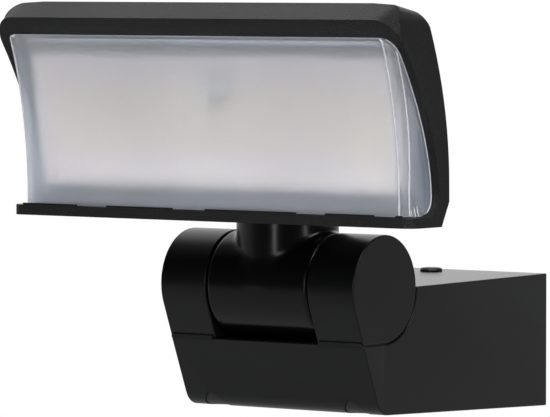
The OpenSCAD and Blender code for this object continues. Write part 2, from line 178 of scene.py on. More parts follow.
def area_light(name, azimuth, elevation, distance, size, power, colour=(1, 1, 1)):
    """A rectangular softbox that looks at the lamp head from an azimuth and elevation."""
    data = bpy.data.lights.new(name, "AREA")
    data.shape = "RECTANGLE"
    data.size, data.size_y = size
    data.energy = power
    data.color = colour
    light = bpy.data.objects.new(name, data)
    a, e = math.radians(azimuth), math.radians(elevation)
    back = Vector((math.sin(a) * math.cos(e), -math.cos(a) * math.cos(e), math.sin(e)))
    target = AXIS + Vector((0, 0, 0.03))
    turned = back.to_track_quat("Z", "Y").to_matrix().to_4x4()
    light.matrix_world = Matrix.Translation(target + back * distance) @ turned
    bpy.context.scene.collection.objects.link(light)


def along(tree, source, direction, low, high):
    """How far a vector points along a direction, ramped from 0 to 1 between two values."""
    dot = tree.nodes.new("ShaderNodeVectorMath")
    dot.operation = "DOT_PRODUCT"
    dot.inputs[1].default_value = direction
    tree.links.new(source, dot.inputs[0])
    spread = tree.nodes.new("ShaderNodeMapRange")
    spread.interpolation_type = "SMOOTHSTEP"
    spread.inputs["From Min"].default_value = low
    spread.inputs["From Max"].default_value = high
    tree.links.new(dot.outputs["Value"], spread.inputs["Value"])
    return spread.outputs["Result"]


def two_tones(tree, factor, low, high):
    """A grey that goes from one level to another."""
    mix = tree.nodes.new("ShaderNodeMix")
    mix.data_type = "RGBA"
    mix.inputs["A"].default_value = (low, low, low * 1.03, 1)
    mix.inputs["B"].default_value = (high, high, high, 1)
    tree.links.new(factor, mix.inputs["Factor"])
    return mix.outputs["Result"]


def glow(tree, kind, colour, out):
    """Shows plain white to the camera and the given tone to everything that it lights."""
    seen = tree.nodes.new(kind)
    seen.inputs["Color"].default_value = (1, 1, 1, 1)
    felt = tree.nodes.new(kind)
    tree.links.new(colour, felt.inputs["Color"])
    path = tree.nodes.new("ShaderNodeLightPath")
    mix = tree.nodes.new("ShaderNodeMixShader")
    tree.links.new(path.outputs["Is Camera Ray"], mix.inputs["Fac"])
    tree.links.new(felt.outputs[0], mix.inputs[1])
    tree.links.new(seen.outputs[0], mix.inputs[2])
    tree.links.new(mix.outputs["Shader"], out.inputs["Surface"])


BEHIND = (-math.sin(CAM_AZIMUTH), math.cos(CAM_AZIMUTH), 0)


def make_world():
    """A studio shell: a bright window behind and to the left, dim in front of the object."""
    world = bpy.data.worlds.new("studio")
    bpy.context.scene.world = world
    world.use_nodes = True
    tree = world.node_tree
    tree.nodes.clear()
    coord = tree.nodes.new("ShaderNodeTexCoord").outputs["Generated"]
    shell = two_tones(tree, along(tree, coord, BEHIND, -0.1, 0.8), 0.04, 0.27)
    window = two_tones(tree, along(tree, coord, (-0.52, 0.7, 0.48), 0.72, 0.9), 0, 0.95)
    tone = tree.nodes.new("ShaderNodeVectorMath")
    tree.links.new(shell, tone.inputs[0])
    tree.links.new(window, tone.inputs[1])
    glow(tree, "ShaderNodeBackground", tone.outputs["Vector"], tree.nodes.new("ShaderNodeOutputWorld"))


def make_floor():
    """A pale floor well below the lamp: plain white to the camera, and a painted glow towards everything that it
    lights, darker in front and brighter behind.
    """
    half = 14
    mesh = bpy.data.meshes.new("floor")
    low = cad_box[0][2] - 0.22
    mesh.from_pydata([(-half, -half, low), (half, -half, low), (half, half, low), (-half, half, low)], [],
                     [(0, 1, 2, 3)])
    floor = bpy.data.objects.new("floor", mesh)
    bpy.context.scene.collection.objects.link(floor)
    material = bpy.data.materials.new("pale_floor_painted_glow")
    material.use_nodes = True
    tree = material.node_tree
    tree.nodes.clear()
    coord = tree.nodes.new("ShaderNodeTexCoord").outputs["Object"]
    # painted light: the floor glows darker in front and brighter behind, standing in for how the studio light
    # falls on it
    tone = two_tones(tree, along(tree, coord, BEHIND, -2.0, 0.4), 0.1, 0.48)
    glow(tree, "ShaderNodeEmission", tone, tree.nodes.new("ShaderNodeOutputMaterial"))
    mesh.materials.append(material)


make_camera()
make_world()
make_floor()
area_light("key_panel", 28, 42, 2.2, (1.3, 0.9), 54)
area_light("side_fill", 85, 35, 2.0, (0.8, 0.8), 11)
area_light("front_strip", 7, 2, 1.6, (0.1, 0.9), 2.6)
area_light("side_strip", 76, 2, 1.6, (0.1, 0.9), 2.2)
bpy.context.scene.view_settings.view_transform = "Standard"

# ---------- shader groups ----------


def new_group(name, inputs, outputs):
    """An empty shader group with float or colour sockets, each given as (name, kind, default)."""
    tree = bpy.data.node_groups.new(name, "ShaderNodeTree")
    for label, kind, default in inputs:
        socket = tree.interface.new_socket(label, in_out="INPUT", socket_type=kind)
        socket.default_value = default
    for label, kind in outputs:
        tree.interface.new_socket(label, in_out="OUTPUT", socket_type=kind)
    return tree, tree.nodes.new("NodeGroupInput"), tree.nodes.new("NodeGroupOutput")


def maths(tree, operation, a, b):
    """A maths node on two sockets or numbers, giving its output socket."""
    node = tree.nodes.new("ShaderNodeMath")
    node.operation = operation
    for slot, value in zip(node.inputs, (a, b)):
        if isinstance(value, (int, float)):
            slot.default_value = value
        else:
            tree.links.new(value, slot)
    return node.outputs["Value"]


def noise(tree, vector, scale, detail, rough=0.5):
    """A noise texture's value at a scale given by a socket or a number."""
    node = tree.nodes.new("ShaderNodeTexNoise")
    node.inputs["Detail"].default_value = detail
    node.inputs["Roughness"].default_value = rough
    tree.links.new(vector, node.inputs["Vector"])
    if isinstance(scale, (int, float)):
        node.inputs["Scale"].default_value = scale
    else:
        tree.links.new(scale, node.inputs["Scale"])
    return node.outputs["Fac"]


def grain_group():
    """Moulded grain: a fine height field with a slight, slower change of tone and gloss."""
    tree, start, end = new_group(
        "moulded_grain",
        [("Grain per m", "NodeSocketFloat", 1500.0), ("Speckle", "NodeSocketFloat", 0.2),
         ("Gloss", "NodeSocketFloat", 0.4), ("Gloss change", "NodeSocketFloat", 0.05)],
        [("Height", "NodeSocketFloat"), ("Tone", "NodeSocketFloat"), ("Roughness", "NodeSocketFloat")])
    where = tree.nodes.new("ShaderNodeTexCoord").outputs["Object"]
    fine = noise(tree, where, start.outputs["Grain per m"], 3, 0.6)
    slow = noise(tree, where, 22, 2)
    centred = maths(tree, "SUBTRACT", fine, 0.5)
    speck = maths(tree, "MULTIPLY", centred, start.outputs["Speckle"])
    drift = maths(tree, "MULTIPLY", maths(tree, "SUBTRACT", slow, 0.5), 0.22)
    tone = maths(tree, "ADD", maths(tree, "ADD", speck, drift), 1)
    shift = maths(tree, "MULTIPLY", maths(tree, "SUBTRACT", slow, 0.5), start.outputs["Gloss change"])
    tree.links.new(fine, end.inputs["Height"])
    tree.links.new(tone, end.inputs["Tone"])
    tree.links.new(maths(tree, "ADD", start.outputs["Gloss"], shift), end.inputs["Roughness"])
    return tree


def edge_group():
    """Edge polish: a mask that is high on outward edges, broken up by noise."""
    tree, start, end = new_group(
        "edge_polish",
        [("Width", "NodeSocketFloat", 0.5), ("Amount", "NodeSocketFloat", 0.3)],
        [("Mask", "NodeSocketFloat")])
    where = tree.nodes.new("ShaderNodeTexCoord").outputs["Object"]
    point = tree.nodes.new("ShaderNodeNewGeometry").outputs["Pointiness"]
    spread = tree.nodes.new("ShaderNodeMapRange")
    spread.inputs["From Min"].default_value = 0.52
    spread.inputs["From Max"].default_value = 0.62
    tree.links.new(point, spread.inputs["Value"])
    broken = maths(tree, "ADD", noise(tree, where, 260, 2), start.outputs["Width"])
    mask = maths(tree, "MULTIPLY", spread.outputs["Result"], broken)
    tree.links.new(maths(tree, "MULTIPLY", mask, start.outputs["Amount"]), end.inputs["Mask"])
    return tree


GRAIN = grain_group()
EDGE = edge_group()


def group_node(tree, group, **values):
    """Places a shader group and sets its inputs by name, with spaces written as underscores."""
    node = tree.nodes.new("ShaderNodeGroup")
    node.node_tree = group
    for label, value in values.items():
        node.inputs[label.replace("_", " ")].default_value = value
    return node


# ---------- materials ----------


def moulded(name, colour, grain=1500.0, speckle=0.2, gloss=0.4, change=0.05, bump=0.1, depth=0.05,
            specular=0.5, polish=0.15, metallic=0.0):
    """A moulded, painted or metal finish with grain, slight tone changes and polished edges."""
    material = bpy.data.materials.new(name)
    material.use_nodes = True
    tree = material.node_tree
    surface = tree.nodes["Principled BSDF"]
    grain_node = group_node(tree, GRAIN, Grain_per_m=grain, Speckle=speckle, Gloss=gloss,
                            Gloss_change=change)
    edge_node = group_node(tree, EDGE, Amount=polish)
    tint = tree.nodes.new("ShaderNodeVectorMath")
    tint.operation = "SCALE"
    tint.inputs[0].default_value = colour
    tree.links.new(grain_node.outputs["Tone"], tint.inputs["Scale"])
    lift = tree.nodes.new("ShaderNodeMix")
    lift.data_type = "RGBA"
    lift.inputs["B"].default_value = tuple(min(1, c * 1.6 + 0.03) for c in colour) + (1,)
    tree.links.new(edge_node.outputs["Mask"], lift.inputs["Factor"])
    tree.links.new(tint.outputs["Vector"], lift.inputs["A"])
    tree.links.new(lift.outputs["Result"], surface.inputs["Base Color"])
    tree.links.new(grain_node.outputs["Roughness"], surface.inputs["Roughness"])
    relief = tree.nodes.new("ShaderNodeBump")
    relief.inputs["Strength"].default_value = bump
    relief.inputs["Distance"].default_value = depth * MM
    tree.links.new(grain_node.outputs["Height"], relief.inputs["Height"])
    tree.links.new(relief.outputs["Normal"], surface.inputs["Normal"])
    surface.inputs["Specular IOR Level"].default_value = specular
    surface.inputs["Metallic"].default_value = metallic
    return material


def frosted(name):
    """Milky polycarbonate: rough transmission with a faint cloudiness."""
    material = bpy.data.materials.new(name)
    material.use_nodes = True
    tree = material.node_tree
    surface = tree.nodes["Principled BSDF"]
    surface.inputs["Transmission Weight"].default_value = 0.88
    surface.inputs["IOR"].default_value = 1.3
    surface.inputs["Specular IOR Level"].default_value = 0.5
    grain_node = group_node(tree, GRAIN, Grain_per_m=900.0, Speckle=0.03, Gloss=0.88, Gloss_change=0.04)
    tint = tree.nodes.new("ShaderNodeVectorMath")
    tint.operation = "SCALE"
    tint.inputs[0].default_value = (0.92, 0.95, 1.0)
    tree.links.new(grain_node.outputs["Tone"], tint.inputs["Scale"])
    tree.links.new(tint.outputs["Vector"], surface.inputs["Base Color"])
    tree.links.new(grain_node.outputs["Roughness"], surface.inputs["Roughness"])
    return material


FINISHES = {
    "head_black": dict(colour=(0.005, 0.005, 0.0052), grain=1250.0, speckle=1.1, gloss=0.42,
        change=0.06, bump=1.0, depth=0.42, specular=0.23, polish=0.12),
    "base_black": dict(colour=(0.0036, 0.004, 0.004), grain=2800.0, speckle=0.2, gloss=0.3,
        change=0.05, bump=0.05, depth=0.02, specular=0.33, polish=0.2),
    "arm_black": dict(colour=(0.003, 0.003, 0.0033), grain=2800.0, speckle=0.2, gloss=0.22,
        change=0.04, bump=0.05, depth=0.02, specular=0.3, polish=0.15),
    "black_plastic": dict(colour=(0.01, 0.01, 0.0105), grain=1900.0, speckle=0.2, gloss=0.42,
        change=0.05, bump=0.12, depth=0.04, specular=0.4, polish=0.2),
    "rubber": dict(colour=(0.012, 0.012, 0.012), grain=1400.0, speckle=0.25, gloss=0.75,
        change=0.08, bump=0.2, depth=0.05, specular=0.25, polish=0.1),
    "steel": dict(colour=(0.56, 0.57, 0.59), grain=900.0, speckle=0.08, gloss=0.3,
        change=0.12, bump=0.08, depth=0.02, specular=0.5, polish=0.1, metallic=1.0),
    "white_plastic": dict(colour=(0.72, 0.71, 0.66), grain=1200.0, speckle=0.05, gloss=0.42,
        change=0.06, bump=0.08, depth=0.03, specular=0.5, polish=0.0),
    "wire": dict(colour=(0.05, 0.13, 0.36), grain=1500.0, speckle=0.08, gloss=0.45,
        change=0.05, bump=0.08, depth=0.02, specular=0.5, polish=0.0),
    "circuit_board": dict(colour=(0.02, 0.14, 0.05), grain=700.0, speckle=0.25, gloss=0.3,
        change=0.05, bump=0.1, depth=0.03, specular=0.5, polish=0.0),
    "winding": dict(colour=(0.62, 0.4, 0.05), grain=900.0, speckle=0.12, gloss=0.35,
        change=0.05, bump=0.1, depth=0.03, specular=0.5, polish=0.0),
    "capacitor": dict(colour=(0.02, 0.035, 0.09), grain=900.0, speckle=0.1, gloss=0.25,
        change=0.05, bump=0.05, depth=0.02, specular=0.5, polish=0.1),
    "anodised_sheet": dict(colour=(0.06, 0.085, 0.13), grain=900.0, speckle=0.1, gloss=0.4,
        change=0.08, bump=0.06, depth=0.02, specular=0.5, polish=0.1),
    "white_board": dict(colour=(0.94, 0.84, 0.77), grain=900.0, speckle=0.03, gloss=0.3,
        change=0.05, bump=0.05, depth=0.02, specular=0.5, polish=0.0),
    "phosphor": dict(colour=(0.95, 0.62, 0.12), grain=2500.0, speckle=0.1, gloss=0.35,
        change=0.05, bump=0.1, depth=0.02, specular=0.5, polish=0.0),
    "reflector_white": dict(colour=(0.98, 0.85, 0.79), grain=900.0, speckle=0.03, gloss=0.35,
        change=0.05, bump=0.05, depth=0.02, specular=0.5, polish=0.0),
}
MATERIALS = {name: moulded(name, **finish) for name, finish in FINISHES.items()}
MATERIALS["frosted_lens"] = frosted("frosted_lens")
GREY_SILICONE = moulded("grey_silicone", (0.06, 0.085, 0.125), grain=1400.0, speckle=0.2, gloss=0.6,
                        change=0.08, bump=0.15, depth=0.05, specular=0.3, polish=0.0)
# opaque milky grey: the milky plastic's colour on the ribs, and a painted highlight on the beads that draw light
# lines along the cover's edges
MILKY_PLASTIC_AND_HIGHLIGHT = moulded("milky_plastic_and_highlight", (0.56, 0.56, 0.59), grain=900.0, speckle=0.03, gloss=0.3,
                     change=0.04, bump=0.05, depth=0.02, specular=0.5, polish=0.0)


def dress_cad_nodes():
    """Every CAD node takes the finish that the record names for it."""
    for part in frame["record"]["subparts"]:
        mesh = cad[part["node"]].data
        mesh.materials.clear()
        mesh.materials.append(MATERIALS[part["material_slot"]])


# ---------- mesh helpers ----------


def new_piece(name, points, faces):
    """A mesh object from row-frame points, with its normals turned outwards."""
    mesh = bpy.data.meshes.new(name)
    mesh.from_pydata([tuple(p) for p in points], [], faces)
    work = bmesh.new()
    work.from_mesh(mesh)
    bmesh.ops.remove_doubles(work, verts=work.verts, dist=0.003 * MM)
    bmesh.ops.recalc_face_normals(work, faces=work.faces)
    for face in work.faces:
        face.smooth = True
    work.to_mesh(mesh)
    work.free()
    piece = bpy.data.objects.new(name, mesh)
    bpy.context.scene.collection.objects.link(piece)
    return piece


def modify(piece, kind, **settings):
    """Adds a modifier and sets its values."""
    modifier = piece.modifiers.new(kind.lower(), kind)
    for label, value in settings.items():
        setattr(modifier, label, value)
    return modifier


def bake_modifiers(piece):
    """Turns the evaluated piece into a plain mesh."""
    graph = bpy.context.evaluated_depsgraph_get()
    mesh = bpy.data.meshes.new_from_object(piece.evaluated_get(graph))
    old = piece.data
    piece.modifiers.clear()
    piece.data = mesh
    bpy.data.meshes.remove(old)
    return piece


def soften(piece, width, segments=3, angle=30):
    """Rounds the sharp edges by a radius in millimetres and keeps the flats flat in shading."""
    modify(piece, "BEVEL", width=width * MM, segments=segments, limit_method="ANGLE",
           angle_limit=math.radians(angle), harden_normals=True, use_clamp_overlap=True)
    for face in piece.data.polygons:
        face.use_smooth = True
    return bake_modifiers(piece)


def even_shading(piece, angle=38):
    """Keeps flats flat and rounds smooth: sharp edges over an angle, normals weighted by face area."""
    work = bmesh.new()
    work.from_mesh(piece.data)
    for face in work.faces:
        face.smooth = True
    for edge in work.edges:
        edge.smooth = len(edge.link_faces) == 2 and edge.calc_face_angle() < math.radians(angle)
    work.to_mesh(piece.data)
    work.free()
    modify(piece, "WEIGHTED_NORMAL", mode="FACE_AREA", weight=100, keep_sharp=True)
    return bake_modifiers(piece)


def cut(piece, *tools):
    """Takes closed tool shapes out of a piece and throws the tools away."""
    for tool in tools:
        modify(piece, "BOOLEAN", operation="DIFFERENCE", object=tool, solver="EXACT")
        bake_modifiers(piece)
        bpy.data.objects.remove(tool)
    return piece


def finish(piece, body, slot, *stands_for, material=None):
    """Gives a piece its finish, its body and the CAD nodes that it stands for."""
    piece.data.materials.clear()
    piece.data.materials.append(material or MATERIALS[slot])
    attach(piece, body)
    if stands_for:
        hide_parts(*stands_for)
    return piece


def prism(name, outline, x0, x1):
    """A side-view outline of (f, z) points made solid from x0 to x1."""
    count = len(outline)
    points = [place(x0, f, z) for f, z in outline] + [place(x1, f, z) for f, z in outline]
    faces = [tuple(range(count)), tuple(range(2 * count - 1, count - 1, -1))]
    faces += [(i, (i + 1) % count, count + (i + 1) % count, count + i) for i in range(count)]
    return new_piece(name, points, faces)


def lathe(name, profile, centre, steps=64, axis="Z"):
    """A closed turned piece: (radius, height) points about an upright or sideways axis."""
    points, faces = [], []
    for i in range(steps):
        a = 2 * math.pi * i / steps
        for radius, height in profile:
            side, fore = radius * math.cos(a), radius * math.sin(a)
            offset = (side, fore, height) if axis == "Z" else (height, side, fore)
            points.append(place(*(c + o for c, o in zip(centre, offset))))
    count = len(profile)
    for i in range(steps):
        j = (i + 1) % steps
        for k in range(count - 1):
            faces.append((i * count + k, j * count + k, j * count + k + 1, i * count + k + 1))
    piece = new_piece(name, points, faces)
    work = bmesh.new()
    work.from_mesh(piece.data)
    bmesh.ops.dissolve_degenerate(work, edges=work.edges, dist=0.002 * MM)
    holes = [edge for edge in work.edges if edge.is_boundary]
    bmesh.ops.holes_fill(work, edges=holes)
    bmesh.ops.recalc_face_normals(work, faces=work.faces)
    work.to_mesh(piece.data)
    work.free()
    return piece


def arc(centre, radius, start, end, steps):
    """Points on an arc in the side view, angles in degrees, counted from forwards towards up."""
    return [(centre[0] + radius * math.cos(math.radians(start + (end - start) * i / steps)),
             centre[1] + radius * math.sin(math.radians(start + (end - start) * i / steps)))
            for i in range(steps + 1)]


# ---------- lamp head ----------


def edge_f(z):
    """How far forward the side wall's front edge is at a height."""
    return 36 + 25 * (max(0, z - 38) / 61.5) ** 1.75


def rear_f(z):
    """How far forward the rear face is at a height."""
    return REAR_F + 13 * (max(0, z - 45) / 60) ** 2


def crown(x, z, drop):
    """Height of the head's top at x: level in the middle, falling a little towards the corners."""
    return z - drop * max(0, (x - CROWN_FROM) / CROWN_SPAN) ** 2


def corner(centre, radius, a):
    """A point (x, z) on a top corner seen from the front, a degrees round from the top."""
    return (centre[0] + radius * math.sin(math.radians(a)), centre[1] + radius * math.cos(math.radians(a)))


def blend_to(start, end, share):
    """A smooth change from start to end."""
    return start + (end - start) * share * share * (3 - 2 * share)


def head_stations():
    """Half the head's outline as matched points on six loops, from top centre to bottom centre.

    The loops are: opening edge, rim crease, widest edge, rear edge, rear face edge and inner floor of the
    hollow. Each point is (x, f, z).
    """
    stations = []
    inner_x = HEAD_HALF - RIM
    opening_c = (inner_x - OPENING_CORNER, OPENING_Z - OPENING_CORNER)
    crease_c = (HEAD_HALF - CORNER, CREASE_Z - CORNER)
    ridge_c = (HEAD_HALF - RIDGE_INSET, RIDGE_Z - RIDGE_DROP - RIDGE_CORNER)
    back_c = (HEAD_HALF - BACK_INSET, RIDGE_Z - BACK_DROP - BACK_CORNER)
    rear_c = (HEAD_HALF - 8, RIDGE_Z - 12)
    floor_c = (opening_c[0], opening_c[1] - 2)
    for i in range(TOP_STATIONS):
        t = i / (TOP_STATIONS - 1)
        stations.append(((opening_c[0] * t, edge_f(OPENING_Z), OPENING_Z),
                         (crease_c[0] * t, edge_f(CREASE_Z), CREASE_Z),
                         (ridge_c[0] * t, RIDGE_F + RIDGE_BOW * t ** 6,
                          crown(ridge_c[0] * t, RIDGE_Z, RIDGE_CROWN)),
                         (back_c[0] * t, BACK_F, crown(back_c[0] * t, RIDGE_Z - BACK_LOWER, BACK_CROWN)),
                         (rear_c[0] * t, REAR_TOP_F,
                          crown(rear_c[0] * t, RIDGE_Z - REAR_TOP_LOWER, REAR_TOP_CROWN)),
                         (floor_c[0] * t, rear_f(97.8) + WALL, floor_c[1] + OPENING_CORNER)))
    steps = 14
    for i in range(steps + 1):
        a, share = 90 * i / steps, i / steps
        x_o, z_o = corner(opening_c, OPENING_CORNER, a)
        x_c, z_c = corner(crease_c, CORNER, a)
        x_g, z_g = corner(ridge_c, RIDGE_CORNER, a)
        x_t, z_t = corner(back_c, BACK_CORNER, a)
        x_r, z_r = corner(rear_c, REAR_TOP_CORNER, a)
        x_f, z_f = corner(floor_c, OPENING_CORNER, a)
        stations.append(((x_o, edge_f(z_o), z_o), (x_c, edge_f(z_c), z_c),
                         (x_g, blend_to(RIDGE_F + RIDGE_BOW, RIDGE_SIDE_F, share), z_g),
                         (x_t, blend_to(BACK_F, rear_f(z_t) + 0.4, share), z_t),
                         (x_r, blend_to(REAR_TOP_F, rear_f(z_r), share), z_r),
                         (x_f, rear_f(z_f) + WALL, z_f)))
    ends = [station[1] for station in (opening_c, crease_c, ridge_c, back_c, rear_c, floor_c)]
    for i in range(1, 13):
        share = i / 12
        z_o, z_c, z_g, z_t, z_r, z_f = (high + (low - high) * share
                                        for high, low in zip(ends, (FOOT_Z, FOOT_Z, 38, 37, 37, FOOT_Z)))
        fall = 5.1 + 1.3 * math.sin(math.pi * share) - 1.6 * share
        stations.append(((inner_x, edge_f(z_o), z_o), (HEAD_HALF, edge_f(z_c), z_c),
                         (HEAD_HALF - 1.5 * (1 - share) ** 4, edge_f(z_g) - fall, z_g),
                         (HEAD_HALF - 0.1 + 0.4 * share, rear_f(z_t) + 0.4, z_t),
                         (HEAD_HALF - 3, rear_f(z_r), z_r), (inner_x, rear_f(z_f) + WALL, z_f)))
    turn = FOOT_Z - LIP_TOP
    for i in range(1, 8):
        share = i / 7
        a = math.pi / 2 * share
        f_c = 36 + turn * (1 - math.cos(a))
        z_c = FOOT_Z - turn * math.sin(a)
        stations.append(((inner_x, f_c, z_c), (HEAD_HALF, f_c, z_c),
                         (HEAD_HALF, 32.4 + (f_c - 31.9) * share, 38 + (LIP_LOW - 38) * math.sin(a)),
                         (HEAD_HALF + 0.3 * (1 - share), REAR_F + 0.4 + (CHAMFER_F - REAR_F - 0.4) * share,
                          37 + (LIP_LOW - 37) * share),
                         (HEAD_HALF - 3, REAR_F + 0.1, 37 + (REAR_LOW - 37) * share),
                         (inner_x, 33 + 2 * share, FOOT_Z - 4.5 * share)))
    reach_f = LIP_F - LIP_CORNER
    stations.append(((inner_x, reach_f - 0.5, LIP_TOP), (HEAD_HALF, reach_f, LIP_TOP),
                     (HEAD_HALF, reach_f, LIP_LOW), (HEAD_HALF, CHAMFER_F, LIP_LOW),
                     (HEAD_HALF - 3, REAR_F + 0.1, REAR_LOW), (inner_x, 36, LIP_TOP)))
    for i in range(1, 9):
        a = math.radians(90 * i / 8)
        x_c = HEAD_HALF - LIP_CORNER + LIP_CORNER * math.cos(a)
        f_c = reach_f + LIP_CORNER * math.sin(a)
        stations.append(((min(inner_x, x_c), f_c - 1.6 + 1.1 * math.cos(a), LIP_TOP),
                         (x_c, f_c, LIP_TOP), (x_c, f_c, LIP_LOW), (x_c, CHAMFER_F, LIP_LOW),
                         (x_c - 3, REAR_F + 0.1, REAR_LOW), (min(inner_x, x_c), 36, LIP_TOP)))
    lip_x = HEAD_HALF - LIP_CORNER
    for i in range(1, 11):
        x = lip_x * (1 - i / 10)
        stations.append(((x, LIP_F - 1.6, LIP_TOP), (x, LIP_F, LIP_TOP), (x, LIP_F, LIP_LOW),
                         (x, CHAMFER_F, LIP_LOW), (x * 0.967, REAR_F + 0.1, REAR_LOW), (x, 36, LIP_TOP)))
    return stations


def mirrored_ring(half):
    """A closed ring of points from its right half, whose ends lie on the middle plane."""
    left = [(-x, f, z) for x, f, z in reversed(half[1:-1])]
    return list(half) + left


def strip_fill(offset, half_count, top_count):
    """Faces that close a ring straight across from right to left, with the top row as one face."""
    total = 2 * half_count - 2

    def left(i):
        return offset + (total - i) % total

    def right(i):
        return offset + i

    top = [right(i) for i in range(top_count)] + [left(i) for i in range(top_count - 1, 0, -1)]
    faces = [tuple(top[:top_count] + [right(top_count), left(top_count)] + top[top_count:])]
    for i in range(top_count, half_count - 2):
        faces.append((right(i), right(i + 1), left(i + 1), left(i)))
    return faces


def make_head_shell():
    """The head's housing: visor, swept side walls, lip, rear face and the hollow behind the opening."""
    stations = head_stations()
    half_count = len(stations)
    rings = [mirrored_ring([s[k] for s in stations]) for k in range(6)]
    ring_count = len(rings[0])
    points = [place(*p) for ring in rings for p in ring]
    faces = []
    for a, b in ((5, 0), (0, 1), (1, 2), (2, 3), (3, 4)):
        for i in range(ring_count):
            j = (i + 1) % ring_count
            faces.append((a * ring_count + i, a * ring_count + j, b * ring_count + j, b * ring_count + i))
    for ring in (4, 5):
        faces += strip_fill(ring * ring_count, half_count, TOP_STATIONS + 1)
    shell = new_piece("head_shell", points, faces)
    soften(shell, 0.55, 3, 32)
    return finish(shell, "head", "head_black", "head_housing")


# ---------- diffuser ----------


def lens_f(z):
    """How far forward the diffuser's front is at a height."""
    return LENS_FOOT_F + LENS_BEND - math.sqrt(LENS_BEND ** 2 - max(0, z - LENS_FOOT_Z) ** 2)


def stack_f(z, depth):
    """How far forward a layer of the leaning light board is at a height."""
    return STACK_FOOT[0] + depth / math.cos(BOARD_LEAN) + (z - STACK_FOOT[1]) * math.tan(BOARD_LEAN)


def bezel_x(z):
    """Half the width of the housing's opening at a height."""
    inner_x = HEAD_HALF - RIM
    rise = z - (OPENING_Z - OPENING_CORNER)
    if rise <= 0:
        return inner_x
    return inner_x - OPENING_CORNER + math.sqrt(max(0.04, OPENING_CORNER ** 2 - rise ** 2))


def bezel_f(z):
    """How far forward the opening's edge is at a height, with its turn into the lip."""
    turn = FOOT_Z - LIP_TOP
    if z >= FOOT_Z:
        return edge_f(z)
    return 36 + turn - math.sqrt(max(0, turn ** 2 - (FOOT_Z - z) ** 2))


def lens_side_x(z, f):
    """Half the width of the diffuser at a height and depth: its ends draw in towards the front."""
    front, edge = min(LENS_FRONT_HALF, bezel_x(z) - 0.9), bezel_x(z) - 0.15
    share = (lens_f(z) - f) / (lens_f(z) - bezel_f(z) + 0.6)
    return front + (edge - front) * min(1, max(0, share))


def step_f(z):
    """How far forward the step line on the diffuser's side walls is at a height."""
    return STEP_F + STEP_RISE * (max(0, z - STEP_FROM_Z) / STEP_SPAN) ** 2.2


def cover_line(z, inset, columns):
    """The diffuser's section at a height, drawn in by an inset: (x, f) points from left to right."""
    edge_at = bezel_f(z) - 0.6
    rear = min(stack_f(z, LENS_REAR_D), edge_at - 2)
    half = lens_side_x(z, lens_f(z)) - inset
    side = [(bezel_x(z) - 0.4 - inset, rear), (lens_side_x(z, edge_at) - inset, edge_at)]
    front = [(-half + 2 * half * c / columns, lens_f(z) - inset) for c in range(columns + 1)]
    return [(-x, f) for x, f in side] + front + side[::-1]


def make_diffuser():
    """The milky cover: a concave front, two side walls and a wall thickness, open at the rear."""
    rows, columns = 44, 48
    width = columns + 5
    points, faces = [], []
    for inset in (0, LENS_T):
        for r in range(rows + 1):
            low, high = LENS_LOW + inset, LENS_HIGH - inset
            z = low + (high - low) * r / rows
            points += [place(x, f, z) for x, f in cover_line(z, inset, columns)]
    inner = (rows + 1) * width
    for first in (0, inner):
        for r in range(rows):
            for c in range(width - 1):
                at = first + r * width + c
                faces.append((at, at + 1, at + width + 1, at + width))
        faces.append(tuple(first + c for c in range(width)))
        faces.append(tuple(first + rows * width + c for c in range(width - 1, -1, -1)))
    rim = [r * width for r in range(rows + 1)] + [r * width + width - 1 for r in range(rows, -1, -1)]
    for i, a in enumerate(rim):
        b = rim[(i + 1) % len(rim)]
        faces.append((a, b, inner + b, inner + a))
    lens = new_piece("frosted_cover", points, faces)
    modify(lens, "BEVEL", width=0.5 * MM, segments=3, limit_method="ANGLE", angle_limit=math.radians(50))
    bake_modifiers(lens)
    even_shading(lens)
    return finish(lens, "head", "frosted_lens", "diffuser")


def make_lens_seal():
    """The rubber frame between the heat spreader and the diffuser."""
    def on_board(x, depth, up):
        return place(x, STACK_FOOT[0] + up * math.sin(BOARD_LEAN) + depth * math.cos(BOARD_LEAN),
                     STACK_FOOT[1] + up * math.cos(BOARD_LEAN) - depth * math.sin(BOARD_LEAN))

    points, faces = [], []
    for depth in SEAL_DEPTHS:
        for half, low, high in (SEAL_OUTER, SEAL_INNER):
            corners = ((-half, low), (half, low), (half, high), (-half, high))
            points += [on_board(x, depth, up) for x, up in corners]
    for i in range(4):
        j = (i + 1) % 4
        faces += [(i, j, 4 + j, 4 + i), (8 + i, 12 + i, 12 + j, 8 + j), (i, 8 + i, 8 + j, j),
                  (4 + i, 4 + j, 12 + j, 12 + i)]
    seal = new_piece("seal_frame", points, faces)
    soften(seal, 0.25, 2)
    return finish(seal, "head", "rubber", "lens_seal", material=GREY_SILICONE)


